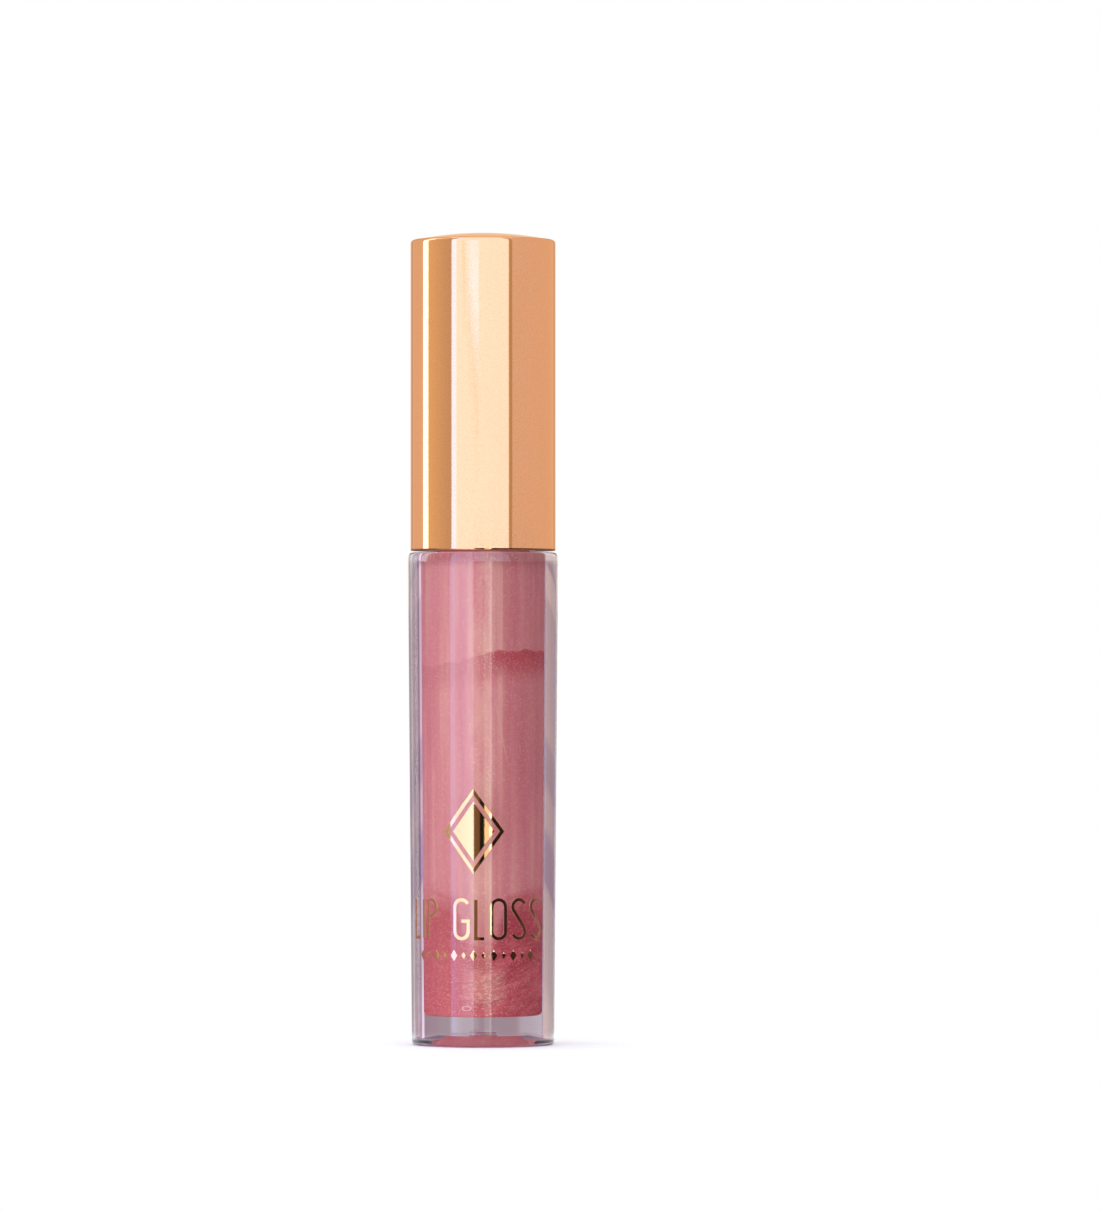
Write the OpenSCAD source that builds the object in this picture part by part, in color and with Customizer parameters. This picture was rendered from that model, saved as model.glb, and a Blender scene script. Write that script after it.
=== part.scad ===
// Lip gloss tube: a thick-walled clear bottle, a wiper, a metallised cap and a wand.
// Millimetres. +Z runs up the tube, z = 0 is the surface that it stands on, and -Y is its printed front.
// Diameters build up from the cavity outwards, so that the cap always fits over the neck.

/* [Bottle] */
// Height of the body, from the surface it stands on to the shoulder
body_h = 58.7; // [45:0.1:75]
// Thickness of the solid clear base under the cavity
base_t = 3.5; // [2:0.1:6]
// Diameter of the cavity at the shoulder and up the neck
cavity_d = 9.4; // [8.4:0.1:12]
// Angle of the cavity's wall, which narrows downwards
cavity_draft = 0.24; // [0:0.02:0.5]
// Radius of the edge round the cavity's floor
cavity_edge_r = 0.5; // [0.2:0.05:1]
// Angle of the body's outer wall, which narrows downwards
body_draft = 0.47; // [0:0.01:0.8]
// How far the shoulder stands out beyond the cap
shoulder_step = 0.29; // [0.1:0.01:0.6]
// Height of the curve between the shoulder and the wall
shoulder_h = 1.1; // [0.5:0.1:2]
// Radius of the edge round the foot
foot_edge_r = 0.35; // [0.1:0.05:0.8]
// Width of the flat ring that the bottle stands on
foot_ring_w = 1.6; // [1:0.1:2.5]
// Height of the hollow under the foot
punt_h = 1.2; // [0.3:0.05:1.5]

/* [Neck and thread] */
// Height of the neck above the shoulder
neck_h = 13; // [11.5:0.1:16]
// Thickness of the neck's wall
neck_wall = 0.9; // [0.7:0.05:1.5]
// How far each thread stands out from its wall
thread_depth = 0.8; // [0.6:0.05:1.1]
// Distance from one thread to the next, up the neck
thread_pitch = 3; // [2.6:0.1:3.4]
// Width of a thread where it leaves its wall
thread_root_w = 1.2; // [0.9:0.05:1.3]
// Width of a thread at its crest
thread_crest_w = 0.7; // [0.4:0.05:0.8]
// Angle that each of the two threads runs through
thread_sweep = 300; // [240:10:330]
// Gap between a thread's crest and the wall opposite
crest_gap = 0.2; // [0.15:0.01:0.4]
// Gap between the two threads' loaded sides when the cap is closed
flank_gap = 0.1; // [0.08:0.01:0.2]

/* [Wiper] */
// Thickness of the flange on the neck's rim
flange_t = 0.7; // [0.4:0.05:1.2]
// Length of the barrel inside the neck
barrel_h = 7.5; // [5:0.1:9]
// Thickness of the barrel's wall
barrel_wall = 0.8; // [0.5:0.05:1]
// Height of the funnel below the barrel
funnel_h = 3.2; // [2:0.1:3.8]
// Thickness of the funnel's wall and lip
lip_wall = 0.35; // [0.25:0.05:0.6]
// Gap between the lip and the flocked tip
lip_gap = 0.2; // [0.1:0.05:0.6]
// How far the holding bead stands out from the barrel
bead_h = 0.2; // [0.1:0.05:0.3]
// Gap round pieces that are pushed together for good
push_gap = 0.02; // [0.01:0.01:0.05]

/* [Cap] */
// Height of the cap shell
cap_h = 38; // [30:0.1:50]
// Thickness of the shell's side wall
shell_wall = 0.9; // [0.7:0.05:1.5]
// Thickness of the shell's top
shell_top_t = 1.2; // [0.9:0.05:2]
// Radius of the edge round the shell's top
shell_edge_r = 0.45; // [0.2:0.05:0.8]
// How much the shell's top rises in the middle
crown_h = 0.85; // [0.1:0.05:1]
// Gap between the closed cap and the shoulder
cap_gap = 0.2; // [0.1:0.05:0.5]
// Thickness of the threaded liner's wall
liner_wall = 0.9; // [0.7:0.05:1.5]
// Thickness of the liner's roof over the neck
roof_t = 1.4; // [1:0.1:2.5]
// How far the gripping ribs stand out from the liner
rib_h = 0.25; // [0.15:0.05:0.5]
// Number of gripping ribs round the liner
rib_n = 16; // [8:1:24]
// Number of fins that hold the shell above the roof
fin_n = 6; // [3:1:8]
// Thickness of each fin
fin_t = 0.8; // [0.6:0.1:1.5]
// Thickness of the seal ring under the roof
seal_t = 0.8; // [0.5:0.05:1.5]
// Gap left on each side of the seal ring
seal_gap = 0.04; // [0.02:0.01:0.1]

/* [Wand] */
// Diameter of the stem
stem_d = 3.5; // [3:0.1:4]
// How much thinner the stem's waist is, where the lip rests
waist_cut = 0.2; // [0.1:0.05:0.4]
// Length of the plug that holds the stem in the liner
plug_h = 7; // [4:0.1:10]
// Diameter of that plug
plug_d = 4; // [3.4:0.1:4.6]
// Length of the flocked tip
tip_h = 10.5; // [8:0.1:14]
// Gap between the tip and the cavity's floor
tip_floor_gap = 2.6; // [1:0.1:6]
// Diameter of the tip's flexible core
core_d = 3.3; // [2.8:0.1:3.6]
// Thickness of the flock
flock_t = 0.45; // [0.3:0.05:0.6]
// Lean of the tip's flat face away from the tube's axis
face_lean = 22; // [15:1:35]
// Diameter of the core's peg in the stem
peg_d = 2; // [1.6:0.1:2.4]
// Length of that peg
peg_h = 5; // [3:0.1:8]

/* [Gloss] */
// Height of the gloss above the surface that the bottle stands on
fill_z = 46.2; // [20:0.1:46.4]
// Thickness of the film on the cavity's wall above the gloss
film_t = 0.25; // [0.1:0.05:0.5]
// Room round the wand as it passes through the gloss
wand_gap = 0.3; // [0.2:0.05:0.8]

/* [Foil] */
// Thickness of the hot-stamped foil
foil_t = 0.03; // [0.02:0.01:0.1]
// Height of the lozenge's centre
lozenge_z = 25.6; // [20:0.1:36]
// Half width of the lozenge
lozenge_rx = 3.6; // [2:0.1:4]
// Half height of the lozenge
lozenge_rz = 5.1; // [3:0.1:6]
// Width of the lozenge's outer line, and of the gap inside it
lozenge_line = 0.42; // [0.2:0.02:0.6]
// Height of the lettering's base line
letter_z = 12.9; // [10:0.1:17]
// Height of the letters' middle lines
letter_h = 4.6; // [3.6:0.1:5]
// Width of the round letters' middle lines
letter_w = 1.65; // [1.2:0.05:2.4]
// Thickness of the letters' strokes
stroke = 0.4; // [0.2:0.02:0.6]
// Gap between letters
letter_gap = 0.5; // [0.3:0.05:0.8]
// Gap between words
word_gap = 1.8; // [1:0.1:3]
// Height of the row of diamonds
row_z = 10.9; // [6:0.1:14]
// Number of diamonds in the row
row_n = 13; // [3:2:15]
// Distance between the diamonds, round the bottle
row_step = 1.2; // [0.8:0.1:1.6]

/* [Hidden] */
$fn = 96;
eps = 0.01;

// Radii, from the cavity outwards
cavity_r = cavity_d / 2;
neck_r = cavity_r + neck_wall;
crest_r = neck_r + thread_depth;
liner_bore_r = crest_r + crest_gap;
liner_r = liner_bore_r + liner_wall;
rib_r = liner_r + rib_h;
shell_bore_r = rib_r + push_gap;
cap_r = shell_bore_r + shell_wall;
shoulder_r = cap_r + shoulder_step;
foot_r = shoulder_r - (body_h - shoulder_h) * tan(body_draft);
punt_r = foot_r - foot_edge_r - foot_ring_w;
cavity_floor_r = cavity_r - (body_h - base_t) * tan(cavity_draft);

// Heights, from the table upwards
rim_z = body_h + neck_h;
flange_z = rim_z + flange_t;
roof_z = flange_z + seal_t + 2 * seal_gap;
cap_z = body_h + cap_gap;
cap_top_z = cap_z + cap_h;
shell_roof_z = cap_top_z - crown_h - shell_top_t;
tip_z = base_t + tip_floor_gap;
tip_top_z = tip_z + tip_h;

// Thread: two starts on one helix, with its middle on the neck's
thread_starts = 2;
lead = thread_starts * thread_pitch;
thread_rise = lead * thread_sweep / 360;
neck_thread_z = body_h + (neck_h - thread_rise) / 2;
flank_slope = (thread_root_w - thread_crest_w) / 2 / thread_depth;
flank_reach = thread_root_w - flank_slope * (thread_depth + crest_gap);
liner_thread_z = neck_thread_z - flank_reach - flank_gap;
// Angle between a thread's sections, depth of its foot in the wall, depth that its ends sink to, and the
// angle over which they do
thread_step = 10;
thread_foot = 0.35;
thread_sink = 0.15;
thread_fade = 30;

// Bead that holds the wiper in the neck: its height in the neck, and half of its width at its crest and foot
bead_z = rim_z - barrel_h / 2;
bead_crest = 0.15;
bead_foot = 0.5;

// Wand
stem_r = stem_d / 2;
flock_r = core_d / 2 + flock_t;
lip_r = flock_r + lip_gap;
lip_z = rim_z - barrel_h - funnel_h;
// Inner radius of the seal ring, and the collar on the stem inside it
seal_bore_r = flock_r + 1.5;
collar_t = 0.9;
collar_gap = 0.2;
// Length of the waist where the lip rests
waist_h = 5;
// Length of bare core between the flock and the stem
tip_neck_h = 0.4;
// Where the tip's flat face starts at its blunt end, as a share of the flock's radius
face_start = 0.3;

// The generic lettering, in capitals
words = "LIP GLOSS";

// A round arc of points about [x, z], from angle a to angle b
function arc(x, z, r, a, b, n = 8) = [for (i = [0:n])
    let (t = a + (b - a) * i / n) [x + r * cos(t), z + r * sin(t)]];
// The body's outer radius at a height
function wall_r(z) = foot_r + z * tan(body_draft);
// The cavity's radius at a height
function inner_r(z) = cavity_r - max(0, body_h - z) * tan(cavity_draft);

// The cavity's floor and its rounded edge
function floor_edge() = concat(
    [[0, base_t]],
    arc(cavity_floor_r - cavity_edge_r, base_t + cavity_edge_r, cavity_edge_r, -90, 0, 6));
// The bead that holds the wiper, going up a wall of radius r
function bead(r) = [
    [r, bead_z - bead_foot], [r + bead_h, bead_z - bead_crest],
    [r + bead_h, bead_z + bead_crest], [r, bead_z + bead_foot]];

// A ring or disc between two heights
module tube(outer, inner, low, high) {
    translate([0, 0, low]) difference() {
        cylinder(r = outer, h = high - low);
        if (inner > 0) translate([0, 0, -eps]) cylinder(r = inner, h = high - low + 2 * eps);
    }
}

// One thread that stands on a wall of radius root_r and reaches out (dir = 1) or in (dir = -1).
// Its foot lies inside the wall, and its crest sinks into the wall at both ends.
module thread(root_r, dir, z) {
    steps = thread_sweep / thread_step;
    // Height of the crest above the wall at an angle along the thread
    function fade(a) = min(1, a / thread_fade, (thread_sweep - a) / thread_fade);
    function crest(a) = fade(a) * (thread_depth + thread_sink) - thread_sink;
    function ring(a) = [
        [-thread_foot, -thread_root_w / 2 - flank_slope * thread_foot],
        [crest(a), -thread_crest_w / 2],
        [crest(a), thread_crest_w / 2],
        [-thread_foot, thread_root_w / 2 + flank_slope * thread_foot]];
    points = [for (i = [0:steps]) let (a = i * thread_step) for (p = ring(a)) let (r = root_r + dir * p.x)
        [r * cos(a), r * sin(a), z + lead * a / 360 + p.y]];
    sides = [for (i = [0:steps - 1]) for (k = [0:3]) let (a = 4 * i + k, b = 4 * i + (k + 1) % 4)
        each (dir > 0 ? [[a, b, b + 4], [a, b + 4, a + 4]] : [[b, a, b + 4], [b + 4, a, a + 4]])];
    start = dir > 0 ? [3, 2, 1, 0] : [0, 1, 2, 3];
    end = [for (k = start) 4 * steps + 3 - k];
    polyhedron(points = points, faces = concat(sides, [start, end]));
}

module threads(root_r, dir, z) {
    for (s = [0:thread_starts - 1]) rotate([0, 0, 360 * s / thread_starts]) thread(root_r, dir, z);
}

// The clear bottle, with its thick base, draft, shoulder and threaded neck
module bottle() {
    shoulder_turn = shoulder_step + shoulder_h * tan(body_draft);
    // The hollow underside: a steep ring up to a flat disc, and in its middle the dimple of the mould's gate,
    // with the gate's nub left inside it
    gate_z = punt_h + 0.4;
    underside = [[0, gate_z - 0.25], [0.4, gate_z - 0.25], [0.4, gate_z], [1.05, gate_z], [1.05, punt_h],
        [punt_r - 3.1, punt_h], [punt_r, 0], [punt_r, -1], [0, -1]];
    outside = concat(
        [[0, 0]],
        arc(foot_r - foot_edge_r, foot_edge_r, foot_edge_r, -90, 0, 6),
        [for (i = [0:8]) let (a = 90 * i / 8)
            [wall_r(body_h - shoulder_h) - shoulder_turn * (1 - cos(a)), body_h - shoulder_h * (1 - sin(a))]],
        [[neck_r, body_h], [neck_r, rim_z - 0.3], [neck_r - 0.3, rim_z], [0, rim_z]]);
    cavity = concat(
        floor_edge(), [[cavity_r, body_h]], bead(cavity_r), [[cavity_r, rim_z + 1], [0, rim_z + 1]]);
    color([0.93, 0.93, 0.96, 0.35]) {
        difference() {
            union() {
                rotate_extrude() polygon(outside);
                threads(neck_r, 1, neck_thread_z);
            }
            rotate_extrude() polygon(cavity);
            rotate_extrude() polygon(underside);
        }
    }
}

// The soft insert that wipes the wand, held by a bead in the neck
module wiper() {
    outer = cavity_r - push_gap;
    bore = outer - barrel_wall;
    barrel_z = rim_z - barrel_h;
    flange_r = neck_r - 0.1;
    profile = concat(
        [[bore, flange_z - 0.4], [bore + 0.2, flange_z]],
        [[flange_r, flange_z], [flange_r, rim_z], [outer, rim_z]],
        [for (i = [3:-1:0]) bead(outer)[i]],
        [[outer, barrel_z], [outer - 0.3, barrel_z - 0.3], [lip_r + lip_wall, lip_z + 0.4],
         [lip_r + lip_wall, lip_z], [lip_r, lip_z], [lip_r, lip_z + 0.5], [bore, barrel_z + 0.2]]);
    color([0.95, 0.95, 0.95]) rotate_extrude() polygon(profile);
}

// The gloss, with the film that clings above it and the room that the wand takes
module gloss() {
    channel_r = flock_r + wand_gap;
    channel_z = tip_z - wand_gap;
    film_z = lip_z - 1.5;
    profile = concat(
        floor_edge(),
        [[inner_r(film_z), film_z], [inner_r(film_z) - film_t, film_z]],
        [[inner_r(fill_z) - film_t, fill_z + 0.6], [inner_r(fill_z) - 0.8, fill_z]],
        [[channel_r, fill_z], [channel_r, channel_z], [0, channel_z]]);
    color([0.84, 0.56, 0.58]) rotate_extrude() polygon(profile);
}

// What lies within the foil's thickness on the body's wall, between two heights
module in_foil(low, high) {
    color([0.93, 0.74, 0.5]) intersection() {
        translate([0, 0, low]) difference() {
            cylinder(r1 = wall_r(low) + foil_t, r2 = wall_r(high) + foil_t, h = high - low);
            cylinder(r1 = wall_r(low), r2 = wall_r(high), h = high - low);
        }
        union() children();
    }
}

// Pushes a drawing out through the front wall, at an arc's length round from the middle of the front
module push(along, z) {
    rotate([0, 0, along / wall_r(z) * 180 / PI]) translate([0, -foot_r / 2, z]) rotate([90, 0, 0])
        linear_extrude(shoulder_r) children();
}

module diamond(rx, rz) { polygon([[rx, 0], [0, rz], [-rx, 0], [0, -rz]]); }

// A lozenge inside a lozenge-shaped line
module foil_lozenge() {
    // A line's width measured along the lozenge's long axis
    line_z = lozenge_line * sqrt(pow(lozenge_rx, 2) + pow(lozenge_rz, 2)) / lozenge_rx;
    shrink = line_z / lozenge_rz;
    in_foil(lozenge_z - lozenge_rz - 1, lozenge_z + lozenge_rz + 1) push(0, lozenge_z) {
        difference() {
            diamond(lozenge_rx, lozenge_rz);
            scale(1 - shrink) diamond(lozenge_rx, lozenge_rz);
        }
        scale(1 - 2.2 * shrink) diamond(lozenge_rx, lozenge_rz);
    }
}

// The outline of a stroke that follows a path, with mitred corners
function unit(v) = v / norm(v);
function left_of(v) = [-v.y, v.x];
function mitre(path, i) = let (
        n = len(path) - 1,
        before = left_of(unit(path[max(i, 1)] - path[max(i, 1) - 1])),
        after = left_of(unit(path[min(i, n - 1) + 1] - path[min(i, n - 1)])))
    (before + after) / (1 + before * after);
function ribbon(path) = let (n = len(path) - 1) concat(
    [for (i = [0:n]) path[i] + mitre(path, i) * stroke / 2],
    [for (i = [n:-1:0]) path[i] - mitre(path, i) * stroke / 2]);

// The middle lines of one capital, between x = 0 and its width and between z = 0 and letter_h
function letter_width(c) = c == "I" ? 0 : c == "L" ? letter_w * 0.6 : c == "P" ? letter_w * 0.75
    : c == " " ? word_gap - 2 * letter_gap : letter_w;
function letter_lines(c) = let (
        w = letter_width(c),
        h = letter_h,
        r = w / 2,
        bowl = min(letter_h * 0.27, w * 0.8),
        lean = asin(min(1, w / (h - w))))
    c == "L" ? [[[0, h], [0, 0], [w, 0]]]
    : c == "I" ? [[[0, h], [0, 0]]]
    : c == "P" ? [
        [[0, h], [0, 0]],
        concat([[stroke / 2, h]], arc(w - bowl, h - bowl, bowl, 90, -90), [[stroke / 2, h - 2 * bowl]])]
    : c == "O" ? [for (turn = [-90, 90])
        concat(arc(r, h - r, r, 90, 90 + turn), arc(r, r, r, 90 + turn, 90 + 2 * turn))]
    : c == "G" ? [concat(arc(r, h - r, r, 25, 180), arc(r, r, r, 180, 360), [[w, h * 0.45], [r, h * 0.45]])]
    : c == "S" ? [concat(arc(r, h - r, r, 25, 180 + lean, 10), arc(r, r, r, lean, -155, 10))]
    : [];

// Where letter n starts, along the line
function letter_at(n) = n == 0 ? 0 : letter_at(n - 1) + letter_width(words[n - 1]) + stroke + letter_gap;

module foil_lettering() {
    middle = (letter_at(len(words)) - letter_gap - stroke) / 2;
    for (n = [0:len(words) - 1]) if (words[n] != " ") {
        half = letter_width(words[n]) / 2;
        in_foil(letter_z - 1, letter_z + letter_h + 1) push(letter_at(n) + half - middle, letter_z)
            for (path = letter_lines(words[n])) translate([-half, 0]) polygon(ribbon(path));
    }
}

// A row of large and small diamonds
module foil_row() {
    for (i = [0:row_n - 1]) in_foil(row_z - 1, row_z + 1)
        push((i - (row_n - 1) / 2) * row_step, row_z) scale(i % 2 == 0 ? 1 : 0.6) diamond(0.42, 0.68);
}

// The washer that closes on the wiper's flange
module seal_ring() {
    color([0.9, 0.9, 0.88])
        tube(neck_r - 0.1, seal_bore_r, flange_z + seal_gap, roof_z - seal_gap);
}

// The metallised outer cap, with a rounded top edge and a low crown
module cap_shell() {
    crown_edge_z = cap_top_z - crown_h;
    flat_r = cap_r - shell_edge_r;
    crown_r = (flat_r * flat_r + crown_h * crown_h) / (2 * crown_h);
    crown_a = asin(flat_r / crown_r);
    profile = concat(
        [[shell_bore_r, cap_z + 0.15], [shell_bore_r + 0.15, cap_z]],
        arc(cap_r - 0.2, cap_z + 0.2, 0.2, -90, 0, 4),
        arc(flat_r, crown_edge_z - shell_edge_r, shell_edge_r, 0, 90, 8),
        arc(0, cap_top_z - crown_r, crown_r, 90 - crown_a * 11 / 12, 90, 11),
        [[0, shell_roof_z], [shell_bore_r, shell_roof_z]]);
    color([0.91, 0.66, 0.48]) rotate_extrude() polygon(profile);
}

// The threaded liner: a skirt over the neck, a roof that holds the stem, and fins up to the shell's top
module liner() {
    post_r = plug_d / 2 + 1;
    post_z = roof_z + plug_h + 0.6;
    top_z = shell_roof_z - push_gap;
    skirt_z = cap_z + 0.6;
    plug_r = plug_d / 2 + push_gap;
    rib_root = 0.3;
    rib_w = 0.6;
    rib_len = roof_z + roof_t - skirt_z - 1;
    color([0.96, 0.94, 0.92]) difference() {
        union() {
            tube(liner_r, liner_bore_r, skirt_z, roof_z + eps);
            tube(liner_r, 0, roof_z, roof_z + roof_t);
            tube(post_r, 0, roof_z + roof_t - eps, post_z + 1);
            threads(liner_bore_r, -1, liner_thread_z);
            for (i = [0:rib_n - 1]) rotate([0, 0, 360 * i / rib_n])
                translate([0, 0, skirt_z + 1]) intersection() {
                    translate([liner_r - rib_root, -rib_w / 2, 0])
                        cube([rib_h + rib_root + eps, rib_w, rib_len]);
                    cylinder(r = rib_r, h = rib_len);
                }
            for (i = [0:fin_n - 1]) rotate([0, 0, 360 * i / fin_n])
                intersection() {
                    translate([post_r - 0.5, -fin_t / 2, roof_z + roof_t - eps])
                        cube([rib_r, fin_t, top_z - roof_z - roof_t + eps]);
                    cylinder(r = rib_r, h = top_z);
                }
            tube(post_r, post_r - 1, post_z + 1 - eps, top_z);
        }
        translate([0, 0, roof_z - 1]) cylinder(r = plug_r, h = plug_h + 1 + 0.3);
    }
}

// The stem: a plug in the liner, a collar under the roof, a waist at the wiper's lip and a socket for the tip
module stem() {
    plug_r = plug_d / 2;
    collar_r = seal_bore_r - collar_gap;
    waist_r = stem_r - waist_cut;
    waist_top = lip_z + waist_h / 2 + 1;
    socket_r = peg_d / 2 + push_gap;
    profile = [
        [0, roof_z + plug_h], [plug_r - 0.3, roof_z + plug_h],
        [plug_r, roof_z + plug_h - 0.5], [plug_r, roof_z],
        [collar_r, roof_z], [collar_r, roof_z - collar_t + 0.2], [collar_r - 0.2, roof_z - collar_t],
        [stem_r + 0.4, roof_z - collar_t], [stem_r, roof_z - collar_t - 0.8],
        [stem_r, waist_top], [waist_r, waist_top - 0.5],
        [waist_r, waist_top - waist_h + 0.5], [stem_r, waist_top - waist_h],
        [stem_r, tip_top_z + 0.2], [stem_r - 0.2, tip_top_z],
        [socket_r, tip_top_z], [socket_r, tip_top_z + peg_h + 0.2], [0, tip_top_z + peg_h + 0.2]];
    color([0.97, 0.97, 0.96]) rotate_extrude() polygon(profile);
}

// The tip's shape, drawn in from the flock's surface by an inset: a round-ended rod with a slanting flat
// face, which runs from its blunt end up to its side
module doe_foot(inset) {
    r = flock_r - inset;
    low = tip_z + inset;
    difference() {
        union() {
            translate([0, 0, low + r]) sphere(r = r);
            translate([0, 0, low + r]) cylinder(r = r, h = tip_top_z - tip_neck_h - r - low);
        }
        translate([flock_r * face_start + inset / cos(face_lean), 0, tip_z]) rotate([0, -face_lean, 0])
            translate([-2 * tip_h, -2 * r, -tip_h]) cube([2 * tip_h, 4 * r, 4 * tip_h]);
    }
}

// The flexible core, with its peg in the stem
module tip_core() {
    color([0.95, 0.9, 0.9]) union() {
        doe_foot(flock_t);
        translate([0, 0, tip_top_z - tip_neck_h - eps]) cylinder(r = stem_r - 0.45, h = tip_neck_h + eps);
        translate([0, 0, tip_top_z - eps]) cylinder(r = peg_d / 2, h = peg_h + eps);
    }
}

// The flock glued round the core
module flock() {
    color([0.93, 0.72, 0.72]) difference() {
        doe_foot(0);
        doe_foot(flock_t);
    }
}

bottle();
wiper();
gloss();
foil_lozenge();
foil_lettering();
foil_row();
seal_ring();
cap_shell();
liner();
stem();
tip_core();
flock();
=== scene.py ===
# %% [markdown]
# # A lip gloss tube
# This lesson builds the looks of a round lip gloss tube: a thick clear bottle with pearly pink gloss inside,
# pale gold foil stamped on its front, and a tall mirror-bright rose-gold cap that holds the wand. The packed
# CAD model gives every place and size. Blender adds the surfaces, the finishes and the light.

import math

import bpy
import numpy as np
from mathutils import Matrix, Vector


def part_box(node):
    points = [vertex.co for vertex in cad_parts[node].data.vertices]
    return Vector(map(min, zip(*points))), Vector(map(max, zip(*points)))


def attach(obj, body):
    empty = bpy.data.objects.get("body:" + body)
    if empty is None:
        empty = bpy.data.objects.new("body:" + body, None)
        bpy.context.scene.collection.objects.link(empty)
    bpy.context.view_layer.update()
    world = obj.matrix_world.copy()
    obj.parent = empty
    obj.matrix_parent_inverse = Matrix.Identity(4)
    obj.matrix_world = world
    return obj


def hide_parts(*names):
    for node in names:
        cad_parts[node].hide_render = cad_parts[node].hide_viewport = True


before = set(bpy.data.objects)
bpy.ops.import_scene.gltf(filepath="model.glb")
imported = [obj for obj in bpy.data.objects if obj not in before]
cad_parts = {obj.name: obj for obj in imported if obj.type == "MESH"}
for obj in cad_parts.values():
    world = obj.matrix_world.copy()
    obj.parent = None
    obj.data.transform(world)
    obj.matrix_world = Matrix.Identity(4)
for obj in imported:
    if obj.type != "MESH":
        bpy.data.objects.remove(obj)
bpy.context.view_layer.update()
scene = bpy.context.scene

# %% [markdown]
# ## Sizes
# All shapes are worked out in millimetres and turned into metres as they become meshes. The outer heights
# and radii come from the boxes of the CAD nodes. The inner ones, which no box shows, are named here once.


# %% Sizes from the CAD boxes, and the inner ones
def reach(node):
    """A node's lowest height, highest height and outer radius, in millimetres."""
    low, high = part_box(node)
    return low.z * 1000, high.z * 1000, high.x * 1000


rim_z, shoulder_r = reach("bottle")[1:]
wiper_low, flange_z, flange_r = reach("wiper")
gloss_low, film_z, cavity_r = reach("gloss")
seal_low, seal_high, seal_r = reach("seal_ring")
cap_z, cap_top_z, cap_r = reach("cap_shell")
skirt_z, fin_top_z, rib_r = reach("liner")
tip_top_z, plug_top_z, collar_r = reach("stem")
tip_z, flock_top_z, flock_r = reach("flock")

shoulder_z = cap_z - 0.2  # where the neck rises from the shoulder
neck_r = 5.6
bore_r = neck_r + 1.0  # the liner's bore, over the neck's thread
shell_bore_r = 7.77
crown_h = 0.85  # how much the cap's top rises in the middle
shell_roof_z = cap_top_z - crown_h - 1.2
roof_z = seal_high + 0.04
stem_r = 1.75
lip_r = 2.3
fill_z = 46.2
lean = math.tan(math.radians(0.47))  # the bottle narrows downwards by this much
print(f"shoulder radius {shoulder_r:.2f} mm, cavity radius {cavity_r:.2f} mm, cap {cap_z:.1f} to {cap_top_z:.1f} mm")

# %% [markdown]
# ## Camera
# A long lens almost a metre away keeps the tube's sides straight, as a product shot does. The camera stands a
# little to the right of the tube's printed front and just below the cap's edge, so that this edge looks straight,
# while the cap's top and the bottle's foot show as slight curves.

# %% Camera
view_turn = math.radians(7.5)
view_right = np.array([math.cos(view_turn), math.sin(view_turn), 0.0])
view_front = np.array([math.sin(view_turn), -math.cos(view_turn), 0.0])
eye = 0.9 * view_front + [0, 0, 0.045]
aim = 0.008 * view_right + [0, 0, 0.0524]
look = (aim - eye) / np.linalg.norm(aim - eye)

lens = bpy.data.cameras.new("camera")
lens.lens = 223.9
lens.clip_start = 0.01
camera = bpy.data.objects.new("camera", lens)
camera.location = eye
camera.rotation_euler = (math.pi / 2 + math.asin(look[2]), 0, math.atan2(-look[0], look[1]))
scene.collection.objects.link(camera)
scene.camera = camera
scene.view_settings.view_transform = "Standard"
print("camera at", np.round(eye, 4), "looking along", np.round(look, 4))

# %% [markdown]
# ## Node helpers
# Every finish here is a small tree of shader nodes. A few helpers keep the trees readable: two add nodes and
# fill their sockets, six do sums and steps on numbers, and the rest stretch patterns, give noise and mix
# colours.


# %% Node helpers: adding nodes and doing sums
def fill(tree, node, sockets):
    """Fills a node's sockets. A value that is another node's output is linked, and any other is set."""
    for key, value in sockets.items():
        if isinstance(value, bpy.types.NodeSocket):
            tree.links.new(value, node.inputs[key])
        else:
            node.inputs[key].default_value = value
    return node


def add(tree, kind, sockets=None, **settings):
    """Adds a node with its settings, and fills its sockets."""
    made = tree.nodes.new("ShaderNode" + kind)
    for name, value in settings.items():
        setattr(made, name, value)
    return fill(tree, made, sockets or {})


def calc(tree, operation, a, b=0.0):
    """One sum on numbers, such as SUBTRACT or GREATER_THAN."""
    return add(tree, "Math", {0: a, 1: b}, operation=operation).outputs[0]


def times(tree, product, *factors):
    """The product of all the numbers given."""
    for factor in factors:
        product = calc(tree, "MULTIPLY", product, factor)
    return product


def plus(tree, total, *terms):
    """The sum of all the numbers given."""
    for term in terms:
        total = calc(tree, "ADD", total, term)
    return total


def rise(tree, value, low, high):
    """0 at low and 1 at high, with a soft step between them. Low may be the greater of the two."""
    start, end = (0.0, 1.0) if low < high else (1.0, 0.0)
    sockets = {"Value": value, "From Min": min(low, high), "From Max": max(low, high), "To Min": start, "To Max": end}
    return add(tree, "MapRange", sockets, interpolation_type="SMOOTHSTEP").outputs[0]


def between(tree, value, low, high, soft):
    """1 from low to high and 0 outside, with soft steps."""
    return times(tree, rise(tree, value, low - soft, low + soft), rise(tree, value, high + soft, high - soft))


def distance(tree, a, b):
    """The length of (a, b): the square root of a squared plus b squared."""
    return calc(tree, "SQRT", plus(tree, calc(tree, "POWER", a, 2.0), calc(tree, "POWER", b, 2.0)))


# %% Node helpers: noise and colours
def stretched(tree, place, scale, shift=(0, 0, 0)):
    """Coordinates scaled by axis: a small scale draws a pattern out along that axis."""
    return add(tree, "Mapping", {"Vector": place, "Scale": scale, "Location": shift}).outputs[0]


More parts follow.
